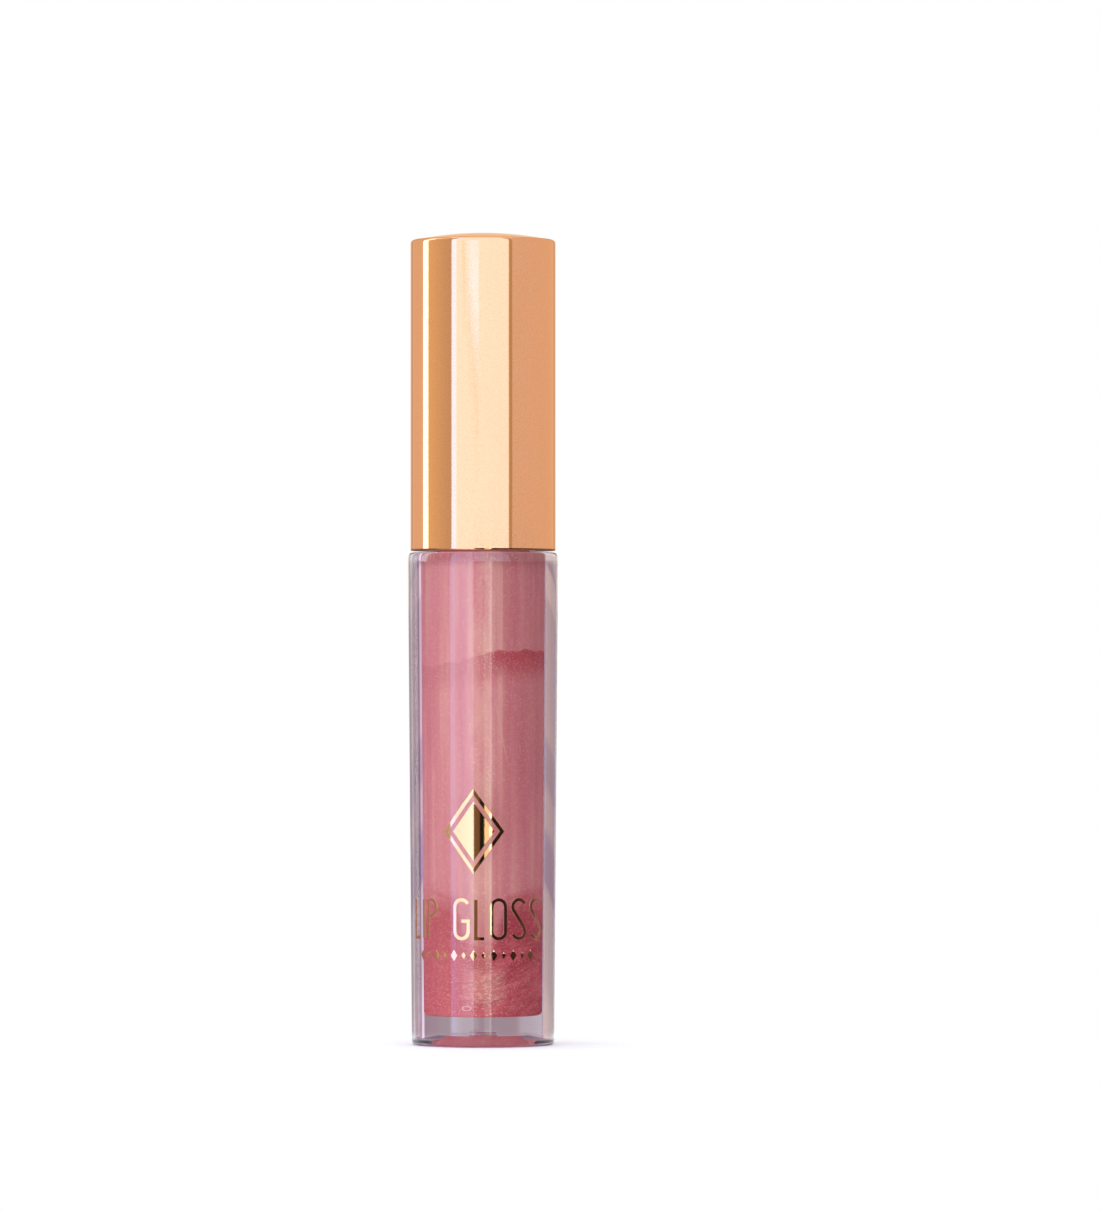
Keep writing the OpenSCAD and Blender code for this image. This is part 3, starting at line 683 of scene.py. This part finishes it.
# %% Foil finish
foil_finish, tree, shader = new_finish("hot_foil")
grain = noise(tree, in_mm(tree), 6.0, 3.0)
press = add(tree, "Bump", {"Height": grain, "Strength": 0.02, "Distance": 0.0001}).outputs[0]
fill(tree, shader, {
    "Base Color": tint(tree, grain, (0.83, 0.47, 0.26), (0.87, 0.5, 0.285)),
    "Roughness": plus(tree, times(tree, grain, 0.05), 0.01), "Metallic": 1.0, "Normal": press})


# %% Wrapping foil on the wall
def wrap(across, z, lift, turn=0.0):
    """Puts flat points on the bottle's wall. They are pressed on along the direction that stands `turn` radians
    to the right of the front: angle = turn + arcsin(across / r), with r the wall's radius at z plus the lift."""
    r = foot_r + z * lean + lift
    angle = turn + np.arcsin(across / r)
    return np.stack([r * np.sin(angle), -r * np.cos(angle), z + 0 * angle], -1)


foil_low, foil_high = -0.006, 0.028


def section(half, points=5):
    """A stroke's section, as (sideways, lift) pairs that run round it: a flat top with narrow bevels."""
    top = np.linspace(-1, 1, points) * (half - 0.01)
    sides = np.concatenate([[-half, -half], top, [half, half]])
    lifts = np.concatenate([[foil_low, foil_high - 0.008], np.full(points, foil_high), [foil_high - 0.008, foil_low]])
    return sides[::-1], lifts[::-1]


def resample(path, step=0.1):
    """Adds points along a path's straight parts, at most a step apart."""
    parts = [path[:1]]
    for a, b in zip(path[:-1], path[1:]):
        count = max(1, math.ceil(np.hypot(*(b - a)) / step))
        parts.append(a + np.linspace(0, 1, count + 1)[1:, None] * (b - a))
    return np.concatenate(parts)


def stroke_skin(path, half, z0=0.0, turn=0.0, closed=False):
    """A foil line along a path: at each point the section is laid along the mitre, the sum of the two
    neighbouring sideways directions divided by 1 plus their dot product."""
    path = resample(np.array(path, float))
    if closed:
        path = path[:-1]
        step = np.roll(path, -1, 0) - path
    else:
        step = np.diff(path, axis=0)
    step /= np.hypot(step[:, 0], step[:, 1])[:, None]
    left = np.stack([-step[:, 1], step[:, 0]], 1)
    if closed:
        before, after = np.roll(left, 1, 0), left
    else:
        before, after = np.vstack([left[:1], left]), np.vstack([left, left[-1:]])
    mitre = (before + after) / (1 + (before * after).sum(1))[:, None]
    sides, lifts = section(half)
    flat = path[:, None, :] + mitre[:, None, :] * sides[None, :, None]
    grid = wrap(flat[..., 0], flat[..., 1] + z0, lifts[None, :] + 0 * flat[..., 0], turn)
    if not closed:
        ends = [np.broadcast_to(row.mean(0), row.shape)[None] for row in (grid[0], grid[-1])]
        grid = np.concatenate([ends[0], grid, ends[1]])
    return skin_faces(grid, ring=closed)


def lozenge_skin(half_w, half_h, z0, turn=0.0, rows=40, points=17):
    """A solid lozenge: at height h its half width is w (1 - |h| / half height), and each row is a section."""
    h = np.linspace(-1, 1, 2 * (rows // 2) + 1)[1:-1] * half_h
    width = half_w * (1 - np.abs(h) / half_h)
    top = np.linspace(-1, 1, points)
    sides = np.concatenate([[-1], top, [1], top[::-1]])
    lifts = np.concatenate([[foil_low], np.full(points, foil_high), [foil_low], np.full(points, foil_low)])
    across = width[:, None] * sides[None, ::-1]
    grid = wrap(across, h[:, None] + z0 + 0 * across, lifts[None, ::-1] + 0 * across, turn)
    on_axis = np.zeros(len(sides))
    bottom, tip = (wrap(on_axis, on_axis + z0 + end, on_axis + 0.01, turn)[None] for end in (-half_h, half_h))
    return skin_faces(np.concatenate([bottom, grid, tip]))


# %% The framed lozenge
foil_low_z, foil_high_z, lozenge_rx = reach("foil_lozenge")
lozenge_z, lozenge_rz = (foil_low_z + foil_high_z) / 2, (foil_high_z - foil_low_z) / 2
frame_share, heart_share = 0.1428, 0.686  # the frame line's width, and the solid middle's size, as shares
normal_size = 1 / math.hypot(1 / lozenge_rx, 1 / lozenge_rz)
frame_line = np.array([[1, 0], [0, 1], [-1, 0], [0, -1], [1, 0]]) * [lozenge_rx, lozenge_rz] * (1 - frame_share / 2)
make_piece("foil_lozenge_stamp", [
    stroke_skin(frame_line, normal_size * frame_share / 2, lozenge_z, closed=True),
    lozenge_skin(lozenge_rx * heart_share, lozenge_rz * heart_share, lozenge_z)],
    "bottle", "foil_lozenge", [foil_finish], sharp=30)


# %% The lettering
letter_z, letter_h, letter_w, stroke, letter_gap, word_gap = 12.9, 4.6, 1.65, 0.4, 0.5, 1.8


def bow_line(x, z, r, start, end, steps=18):
    """Points on an arc about (x, z), from one angle to another in degrees."""
    t = np.radians(np.linspace(start, end, steps + 1))
    return np.stack([x + r * np.cos(t), z + r * np.sin(t)], 1).tolist()


def letter(c):
    """A capital's width, and its middle lines as (path, is it closed) pairs."""
    w = {"I": 0, "L": letter_w * 0.6, "P": letter_w * 0.75, " ": word_gap - 2 * letter_gap}.get(c, letter_w)
    h, r, bowl = letter_h, w / 2, min(letter_h * 0.27, w * 0.8)
    tilt = math.degrees(math.asin(min(1, w / (h - w))))
    lines = {
        "L": [([[0, h], [0, 0], [w, 0]], False)],
        "I": [([[0, h], [0, 0]], False)],
        "P": [([[0, h], [0, 0]], False),
            ([[stroke / 2, h], *bow_line(w - bowl, h - bowl, bowl, 90, -90), [stroke / 2, h - 2 * bowl]], False)],
        "O": [([*bow_line(r, h - r, r, 0, 180), *bow_line(r, r, r, 180, 360), [w, h - r]], True)],
        "G": [([*bow_line(r, h - r, r, 25, 180), *bow_line(r, r, r, 180, 360), [w, h * 0.45], [r, h * 0.45]], False)],
        "S": [([*bow_line(r, h - r, r, 25, 180 + tilt), *bow_line(r, r, r, tilt, -155)], False)],
    }
    return w, lines.get(c, [])


words = "LIP GLOSS"
starts = np.cumsum([0] + [letter(c)[0] + stroke + letter_gap for c in words])
middle = (starts[-1] - letter_gap - stroke) / 2
letter_skins = []
for c, start in zip(words, starts):
    w, lines = letter(c)
    turn = (start + w / 2 - middle) / (foot_r + letter_z * lean)
    for path, closed in lines:
        flat = [[a - w / 2, b] for a, b in path]
        letter_skins.append(stroke_skin(flat, stroke / 2, letter_z, turn, closed))
make_piece("foil_lettering_stamp", letter_skins, "bottle", "foil_lettering", [foil_finish], sharp=30)

# %% The row of diamonds
row_z, row_n, row_step = 10.9, 13, 1.2
row_skins = []
for i in range(row_n):
    size = 1 if i % 2 == 0 else 0.6
    turn = (i - row_n // 2) * row_step / (foot_r + row_z * lean)
    row_skins.append(lozenge_skin(0.42 * size, 0.68 * size, row_z, turn, rows=8, points=5))
make_piece("foil_row_stamp", row_skins, "bottle", "foil_row", [foil_finish], sharp=30)
# %% [markdown]
# ## Rose-gold metal
# The cap is plastic with a vacuum-deposited metal coat under a clear lacquer. The metal is a mirror with a
# copper-gold colour. Two small faults keep it believable: a fine grain from dust under the lacquer, and a very
# slight waviness, which bends the straight edges of the lights.

# %% Rose-gold finish
metal_finish, tree, shader = new_finish("rose_gold")
place = in_mm(tree)
grain = noise(tree, place, 7.0, 2.0, Roughness=0.6)
drift = noise(tree, stretched(tree, place, (0.2, 0.2, 0.05)), 1.0, 2.0)
specks = add(tree, "TexVoronoi", {"Vector": place, "Scale": 0.9}, feature="F1").outputs
chosen = rise(tree, add(tree, "SeparateColor", {0: specks["Color"]}).outputs[0], 0.8, 0.85)  # one cell in six
base = tint(tree, drift, (0.77, 0.37, 0.182), (0.83, 0.405, 0.208))
base = lay(tree, base, (0.64, 0.28, 0.13), rise(tree, grain, 0.35, 0.7), 0.45)
base = lay(tree, base, (0.45, 0.2, 0.1), rise(tree, specks["Distance"], 0.07, 0.04), chosen, 0.5)
relief = plus(tree, times(tree, grain, 0.05), times(tree, drift, 0.4))
bump = add(tree, "Bump", {"Height": relief, "Strength": 0.05, "Distance": 0.0004}).outputs[0]
fill(tree, shader, {"Base Color": base, "Roughness": plus(tree, times(tree, grain, 0.03), 0.015), "Normal": bump})
fill(tree, shader, {
    "Metallic": 1.0, "Specular Tint": (1.0, 0.8, 0.62, 1), "Coat Weight": 0.08, "Coat Roughness": 0.02})


# %% [markdown]
# ## Moulded plastics
# The liner, the stem, the wiper and the seal are plain mouldings, hidden until the cap comes off. Each still
# gets its own plastic: a faint flow pattern in the colour, and a fine surface bump.


# %% Moulded plastic finishes
def moulded(name, light, dark, roughness, scale=1.2, depth=0.03):
    """A plastic whose colour drifts between two close tones, with a fine bump and slightly uneven gloss."""
    finish, tree, shader = new_finish(name)
    place = in_mm(tree)
    flow = noise(tree, place, scale * 0.4, 3.0, Distortion=0.6)
    grain = noise(tree, place, scale * 6, 2.0)
    fill(tree, shader, {
        "Base Color": tint(tree, flow, light, dark), "Roughness": plus(tree, times(tree, grain, 0.12), roughness),
        "Normal": add(tree, "Bump", {"Height": grain, "Strength": depth, "Distance": 0.0002}).outputs[0]})
    return finish


liner_finish = moulded("liner_plastic", (0.68, 0.67, 0.65), (0.6, 0.59, 0.57), 0.32)
stem_finish = moulded("stem_plastic", (0.62, 0.6, 0.6), (0.54, 0.52, 0.53), 0.25)
wiper_finish = moulded("wiper_plastic", (0.62, 0.63, 0.65), (0.54, 0.55, 0.58), 0.3)
seal_finish = moulded("seal_foam", (0.62, 0.62, 0.61), (0.5, 0.5, 0.49), 0.6, scale=3.0, depth=0.5)
tip_finish = moulded("tip_plastic", (0.8, 0.72, 0.72), (0.72, 0.62, 0.62), 0.4)

# %% [markdown]
# ## Wiper and seal
# The wiper is a soft insert whose lip strips the wand as it comes out. The seal is a foam washer.

# %% Wiper and seal meshes
cone_z = 64.2  # where the wiper's straight wall ends and the cone that holds the lip begins
outer_r, inner_r, bead_r = cavity_r - 0.02, cavity_r - 0.82, cavity_r + 0.18
wiper_profile = rounded([
    (lip_r, wiper_low + 0.3), (lip_r + 0.05, wiper_low, 0.08), (lip_r + 0.35, wiper_low, 0.08), (outer_r, cone_z, 0.3),
    (outer_r, rim_z - 4.25), (bead_r, rim_z - 3.9, 0.05), (bead_r, rim_z - 3.6, 0.05), (outer_r, rim_z - 3.25),
    (outer_r, rim_z, 0.05), (flange_r, rim_z, 0.1), (flange_r, flange_z, 0.2), (inner_r, flange_z, 0.3),
    (inner_r, cone_z, 0.3), (lip_r, wiper_low + 0.3)])[:-1]
wiper_skin = skin_faces(turned_grid(fine(wiper_profile), 128), ring=True)
make_piece("wiper_insert", [wiper_skin], "bottle", "wiper", [wiper_finish])

seal_hole_r, seal_start_r = 3.6, 4.5  # the outline starts and ends on the washer's flat lower face
seal_profile = rounded([
    (seal_start_r, seal_low), (seal_r, seal_low, 0.15), (seal_r, seal_high, 0.15), (seal_hole_r, seal_high, 0.15),
    (seal_hole_r, seal_low, 0.15), (seal_start_r, seal_low)])[:-1]
seal_skin = skin_faces(turned_grid(fine(seal_profile), 96), ring=True)
make_piece("seal_washer", [seal_skin], "seal", "seal_ring", [seal_finish])

# %% [markdown]
# ## Cap
# The shell is one closed skin: the roof inside, the bore, the narrow end face, the long outer wall and the low
# crown on top. Its outer wall needs few rows, because nothing bends along it, and the rows that hold the top
# edge keep its highlight tight.

# %% Cap shell mesh
edge_r = 0.45  # the radius of the shell's top edge
crown = np.linspace(cap_r - edge_r, 0, 16)[1:]
crown_z = cap_top_z - crown_h * (crown / (cap_r - edge_r)) ** 2
shell_profile = np.concatenate([
    rounded([(0, shell_roof_z), (shell_bore_r, shell_roof_z, 0.3), (shell_bore_r, cap_z, 0.15), (cap_r, cap_z, 0.2),
        (cap_r, cap_top_z - crown_h, edge_r), (crown[0], crown_z[0])])[:-1],
    np.stack([crown, crown_z], 1)])
shell_grid = turned_grid(fine(shell_profile, step=4), 240)
shell_skins, shell_finishes = [skin_faces(shell_grid)], [metal_finish, liner_finish]
shell = make_piece("cap_shell_metal", shell_skins, "cap", "cap_shell", shell_finishes)

# the metal coats the outside only, so the roof and the bore take the second finish
centres = np.zeros(len(shell.data.polygons) * 3, np.float32)
shell.data.polygons.foreach_get("center", centres)
centres = centres.reshape(-1, 3) * 1000
bore = (np.hypot(centres[:, 0], centres[:, 1]) < shell_bore_r + 0.05) & (centres[:, 2] < shell_roof_z + 0.1)
shell.data.polygons.foreach_set("material_index", bore.astype(np.int32))
print("cap shell:", int(bore.sum()), "faces of bare plastic inside")

# %% [markdown]
# ## Liner
# The liner carries the inner thread, the roof and the post that holds the wand. Sixteen small ribs grip the
# shell, and six fins hold the shell's tall hollow top. The thread and the ribs are pushed out of the turned
# surface, and each fin is its own thin plate.

# %% Liner profile
plug_r, post_bore_r, post_r = 2.02, 2.0, 3.0
plug_hole_z, post_floor_z, deck_z = roof_z + 7.3, roof_z + 8.6, roof_z + 1.4
skirt_r = bore_r + 0.9
liner_profile = fine(rounded([
    (0, plug_hole_z), (plug_r, plug_hole_z, 0.1), (plug_r, roof_z, 0.1), (bore_r, roof_z, 0.3),
    (bore_r, skirt_z, 0.1), (skirt_r, skirt_z, 0.15), (skirt_r, deck_z, 0.2), (post_r, deck_z, 0.2),
    (post_r, fin_top_z, 0.1), (post_bore_r, fin_top_z, 0.1), (post_bore_r, post_floor_z, 0.2),
    (0, post_floor_z)]), step=2.0)
on_bore = np.isclose(liner_profile[:, 0], bore_r) & (liner_profile[:, 1] < roof_z - 0.3)
liner_profile = with_rows(liner_profile, on_bore, bore_r, np.arange(roof_z - 0.5, skirt_z + 0.2, -0.09))
print("liner profile:", len(liner_profile), "points")

# %% The liner's thread and ribs: 16 ribs 0.68 mm wide that stand 0.24 mm out
liner_grid = turned_grid(liner_profile, 240)
radius, z = np.hypot(liner_grid[..., 0], liner_grid[..., 1]), liner_grid[..., 2]
nut_z = 61.7125  # the liner's thread starts here, close under the neck's, so that it pulls from below
ridge = thread_ridge(columns_deg(240), z, nut_z)
rib_pitch = 360 / 16
off_rib = np.abs((columns_deg(240) + rib_pitch / 2) % rib_pitch - rib_pitch / 2) * math.radians(skirt_r)
rib = 0.24 * np.clip((0.34 - off_rib) / 0.08, 0, 1) * np.clip((z - skirt_z - 0.9) / 0.2, 0, 1)
on_skirt = np.where(np.isclose(radius, skirt_r), rib, 0)
push_radially(liner_grid, np.where(np.isclose(radius, bore_r), -ridge, on_skirt))


# %% The liner's fins
def plate_skin(turn, inner, outer, half, low, high):
    """A thin upright plate with rounded ends that stands out from the axis: a stadium outline, run up the height."""
    t = np.radians(np.linspace(0, 360, 24, endpoint=False))
    across, out = half * np.sin(t), np.where(np.cos(t) > 0, outer - half, inner + half) + half * np.cos(t)
    x = out * math.cos(turn) - across * math.sin(turn)
    y = out * math.sin(turn) + across * math.cos(turn)
    ring = np.stack([x, y, 0 * x], -1)
    heights = np.array([low, low, low + 0.3, (low + high) / 2, high - 0.3, high, high])
    grid = np.repeat(ring[None], len(heights), 0)
    grid[..., 2] = heights[:, None]
    grid[0], grid[-1] = grid[0].mean(0), grid[-1].mean(0)
    return skin_faces(grid)


fins = [
    plate_skin(math.radians(60 * i), 2.5, rib_r - 0.01, 0.4, deck_z - 0.05, fin_top_z - 0.01) for i in range(6)]
liner_skins = [skin_faces(liner_grid)] + fins
make_piece("liner_threaded", liner_skins, "cap", "liner", [liner_finish], sharp=40)

# %% [markdown]
# ## Wand
# The stem is a turned rod with a collar, a plug and a waist. The tip has a slanted flat face, the doe-foot
# shape, and a coat of short nylon fibres, pink with gloss.

# %% Stem mesh
socket_z, socket_r = tip_top_z + 5.2, 1.02
waist_low, waist_high, waist_r = 60.0, 64.0, stem_r - 0.2
collar_z, stem_plug_r = roof_z - 0.9, 2.0
stem_profile = fine(rounded([
    (0, socket_z), (socket_r, socket_z, 0.1), (socket_r, tip_top_z), (stem_r, tip_top_z, 0.25),
    (stem_r, waist_low - 0.5, 1.0), (waist_r, waist_low, 1.0), (waist_r, waist_high, 1.0),
    (stem_r, waist_high + 0.5, 1.0), (stem_r, collar_z - 0.8, 0.4), (stem_r + 0.4, collar_z, 0.2),
    (collar_r, collar_z, 0.2), (collar_r, roof_z, 0.05), (stem_plug_r, roof_z, 0.05),
    (stem_plug_r, plug_top_z, 0.3), (0, plug_top_z)]))
stem_skin = skin_faces(turned_grid(stem_profile, 96))
make_piece("wand_stem", [stem_skin], "cap", "stem", [stem_finish])


# %% The doe-foot tip
SLANT, SOFT = math.radians(22), 0.12  # the flat face's tilt, and how softly its edge is rounded, in millimetres


def doe_foot(inset, top, columns=96):
    """A rod with a round end, cut by a slanting plane on its -X side. A point beyond the plane
    x = 0.63 - (z - tip_z) tan 22 degrees is brought back to it, with a soft maximum that rounds the edge."""
    r = flock_r - inset
    low = tip_z + inset
    t = np.radians(np.linspace(0, 90, 15))
    profile = np.concatenate([np.stack([r * np.sin(t), low + r - r * np.cos(t)], 1), [[r, top]]])
    profile[0, 0] = 0
    grid = turned_grid(fine(profile, step=0.25, hold=0.02), columns)
    cut = flock_r * 0.3 + inset / math.cos(SLANT) - (grid[..., 2] - tip_z) * math.tan(SLANT)
    over = (cut - grid[..., 0]) / SOFT
    grid[..., 0] += SOFT * np.logaddexp(0, np.clip(over, -50, 50))
    return grid


def closed_rod(grid, rings):
    """Adds turned rings (radius, height) above a grid's last row, ending on the axis."""
    return np.concatenate([grid, turned_grid(np.array(rings, float), grid.shape[1])])


peg_r, peg_z = 0.98, tip_top_z + 5.0
core_grid = closed_rod(doe_foot(0.5, flock_top_z - 0.05), [
    (1.3, flock_top_z), (1.3, tip_top_z + 0.01), (peg_r, tip_top_z + 0.05), (peg_r, peg_z), (0, peg_z)])
make_piece("tip_core_rod", [skin_faces(core_grid)], "cap", "tip_core", [tip_finish], sharp=50)

# %% [markdown]
# ### Flock
# Flocking shoots short fibres at a glued core in an electric field, so they stand on end. The coat here is a
# dense matt body with some three thousand separate fibres on it. A fibre is a thin three-sided spike of ten
# faces, placed by picking spots on the body with a seeded random choice, so that each run gives the same coat.

# %% Flock finish
flock_finish, tree, shader = new_finish("flock_fibre")
place = in_mm(tree)
dyed = tint(tree, noise(tree, place, 1.4, 3.0), (0.86, 0.52, 0.52), (0.72, 0.3, 0.32))
fuzz = noise(tree, place, 14.0, 2.0)
bump = add(tree, "Bump", {"Height": fuzz, "Strength": 0.6, "Distance": 0.0001}).outputs[0]
fill(tree, shader, {
    "Base Color": dyed, "Normal": bump, "Roughness": 0.75, "Sheen Weight": 0.5, "Sheen Roughness": 0.4})

# %% The flock's body, and a random spot on it for each fibre
flock_grid = closed_rod(doe_foot(0.22, flock_top_z - 0.2), [(1.75, flock_top_z), (1.0, flock_top_z), (0, flock_top_z)])
rng = np.random.default_rng(7)
along_u = flock_grid[1:-3] - flock_grid[:-4]
along_v = (np.roll(flock_grid, -1, 1) - flock_grid)[:-4]
normals = np.cross(along_v, along_u)
area = np.linalg.norm(normals, axis=-1)
pick = rng.choice(area.size, 3000, p=(area / area.sum()).ravel())
row_at, column_at = np.divmod(pick, flock_grid.shape[1])
a, b = rng.random((2, len(pick), 1))
root = flock_grid[row_at, column_at] + a * along_u[row_at, column_at] + b * along_v[row_at, column_at]
out = normals[row_at, column_at] / area[row_at, column_at][:, None]
print("flock area:", round(float(area.sum()), 1), "mm2")

# %% The fibres, each a ring of three points at the root, another at mid length, and a tip
out = out + rng.normal(0, 0.28, out.shape)
out /= np.linalg.norm(out, axis=1)[:, None]
side = np.cross(out, rng.normal(0, 1, out.shape))
side /= np.linalg.norm(side, axis=1)[:, None]
third = np.cross(out, side)
length = rng.uniform(0.16, 0.25, (len(pick), 1))
spin = np.radians([0, 120, 240])
rim = side[:, None] * np.cos(spin)[None, :, None] + third[:, None] * np.sin(spin)[None, :, None]
base_ring = (root - 0.05 * out)[:, None] + 0.02 * rim
mid_ring = (root + 0.6 * length * out + 0.02 * side)[:, None] + 0.015 * rim
spike = (root + length * out + 0.05 * side)[:, None]
fibre_points = np.concatenate([base_ring, mid_ring, spike], 1).reshape(-1, 3)
pattern = [[2, 1, 0], [0, 1, 4], [0, 4, 3], [1, 2, 5], [1, 5, 4], [2, 0, 3], [2, 3, 5], [3, 4, 6], [4, 5, 6], [5, 3, 6]]
fibre_faces = (np.array(pattern)[None] + 7 * np.arange(len(pick))[:, None, None]).reshape(-1, 3).tolist()
flock_skins = [skin_faces(flock_grid), (fibre_points, fibre_faces)]
make_piece("flock_coat", flock_skins, "cap", "flock", [flock_finish])
